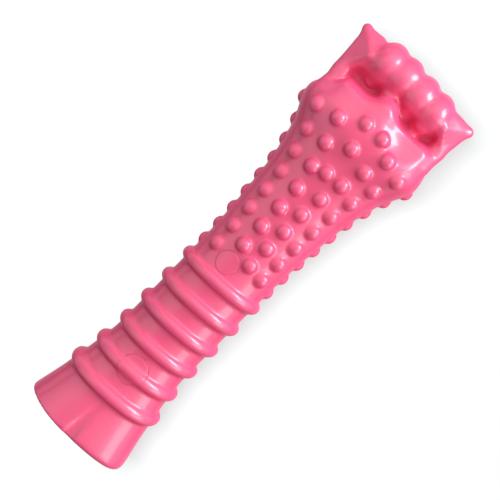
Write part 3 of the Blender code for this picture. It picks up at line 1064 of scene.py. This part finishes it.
finish_piece(skin, "skin_nylon", "outer_skin")
for plug in PLUGS:
    for side, face in (("top", 1), ("bottom", -1)):
        mesh = plug_mesh(plug, face)
        mesh.transform(from_mm)
        mesh.materials.append(PINK_NYLON)
        item = shown(f"{plug.node}_{side}_visual", mesh)
        smooth(item)
        finish_piece(item, "plug_nylon", f"{plug.node}_{side}")
core = frame["nodes"]["inner_core"]
core.data.materials.clear()
core.data.materials.append(CORE_NYLON)
meshes = [item for item in scene.objects if item.type == "MESH" and not item.hide_render]
print("Pieces:", sorted(item.name for item in meshes))

# %% [markdown]
# ## The floor
#
# A product picture on white: the floor is matt paper that glows where it is looked at, directly or
# in a reflection. So it is white, and still takes the bone's shadow. White paper under stronger
# lamps would do as well, but it would throw much more light up at the bone.

# %% Floor
FLOOR_SIZE = 3.0
FLOOR_GLOW = 0.665


def seen_directly(tree):
    """1 for rays from the camera, from a mirror or through glass, else 0."""
    rays = tree.nodes.new("ShaderNodeLightPath").outputs
    seen = put(tree, MATH, rays["Is Camera Ray"], rays["Is Glossy Ray"], operation="MAXIMUM")
    return put(tree, MATH, seen, rays["Is Transmission Ray"], operation="MAXIMUM")


def white_paper():
    """Matt paper that glows where it is looked at."""
    material = bpy.data.materials.new("white_paper")
    material.use_nodes = True
    tree = material.node_tree
    shader = tree.nodes["Principled BSDF"]
    shader.inputs["Base Color"].default_value = linear(PAPER)
    shader.inputs["Roughness"].default_value = 1.0
    shader.inputs["Specular IOR Level"].default_value = 0.0
    shader.inputs["Emission Color"].default_value = linear(WHITE)
    glow = put(tree, MATH, seen_directly(tree), FLOOR_GLOW, operation="MULTIPLY")
    tree.links.new(glow, shader.inputs["Emission Strength"])
    return material


def lay_floor():
    """A large sheet of paper under the bone."""
    bm = bmesh.new()
    bmesh.ops.create_grid(bm, x_segments=1, y_segments=1, size=FLOOR_SIZE / 2)
    mesh = bpy.data.meshes.new("floor")
    bm.to_mesh(mesh)
    bm.free()
    mesh.materials.append(white_paper())
    floor = shown("floor", mesh)
    floor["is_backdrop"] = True
    return floor


floor = lay_floor()
print("Floor:", FLOOR_SIZE, "m square")

# %% [markdown]
# ## The light
#
# A window of two panes, low on the bone's -Y side, draws the white highlights on lobes, ribs and
# studs. A softbox on the other side lifts the far flank. The large softbox leans over from the
# knuckle's end, so ribs and studs have a shaded side towards the butt, and two weak ones fill the
# knuckle's front and the near flank. Gloss doesn't mirror these three, because the bone would then
# have too many highlights. The floor has a lamp of its own, almost overhead, whose size and power
# set how soft and how dark the shadow is.

# %% Lamps
Light = namedtuple("Light", "name bearing height distance width tall power lights mirrored")
LIGHTS = (
    Light("window_near_pane", -85.0, 24.0, 0.60, 0.44, 0.32, 1.4, "bone", True),
    Light("window_far_pane", -40.0, 21.0, 0.60, 0.31, 0.20, 2.4, "bone", True),
    Light("back_softbox", 105.0, 42.0, 0.80, 1.10, 0.80, 1.6, "bone", True),
    Light("end_softbox", 12.0, 35.0, 0.38, 0.32, 0.26, 0.62, "bone", False),
    Light("side_softbox", -92.0, 46.0, 0.60, 0.40, 0.40, 1.0, "bone", False),
    Light("large_softbox", -8.0, 50.0, 0.80, 0.80, 0.80, 3.75, "bone", False),
    Light("shadow_lamp", 100.0, 81.0, 0.80, 0.32, 0.32, 10.8, "floor", True),
)


def add_light(light):
    """A flat lamp at that bearing from +X and height over the floor, aimed at the bone."""
    lamp = bpy.data.lights.new(light.name, "AREA")
    lamp.shape = "RECTANGLE"
    lamp.size = light.width
    lamp.size_y = light.tall
    lamp.energy = light.power
    bearing = math.radians(light.bearing)
    height = math.radians(light.height)
    level = light.distance * math.cos(height)
    item = bpy.data.objects.new(light.name, lamp)
    rise = light.distance * math.sin(height)
    item.location = (level * math.cos(bearing), level * math.sin(bearing), rise)
    item.rotation_euler = (-item.location).to_track_quat("-Z", "Y").to_euler()
    item.visible_glossy = light.mirrored
    scene.collection.objects.link(item)
    return item


def receivers(name, items):
    """A collection of the objects that a lamp lights."""
    collection = bpy.data.collections.new(name)
    for item in items:
        collection.objects.link(item)
    return collection


LIT = {"bone": receivers("lit_bone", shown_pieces()), "floor": receivers("lit_floor", [floor])}
for light in LIGHTS:
    add_light(light).light_linking.receiver_collection = LIT[light.lights]
print("Lamps:", [light.name for light in LIGHTS])

# %% Surroundings
AMBIENT = 0.18


def soft_surroundings():
    """A plain white world that gives a weak, even light from all sides."""
    world = bpy.data.worlds.new("studio")
    world.use_nodes = True
    background = world.node_tree.nodes["Background"]
    background.inputs["Color"].default_value = linear(WHITE)
    background.inputs["Strength"].default_value = AMBIENT
    scene.world = world


soft_surroundings()
scene.view_settings.view_transform = "Standard"
print("Even light from the world:", AMBIENT)

# %% [markdown]
# ## Finishing
#
# The visual pieces' box is printed beside the imported model's box.

# %% Sizes
visual_box = [list(corner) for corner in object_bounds()]
for label, (low, high) in (("CAD", cad_box), ("Visual", visual_box)):
    print(label, "box in mm:", [round((b - a) / MM, 1) for a, b in zip(low, high)])
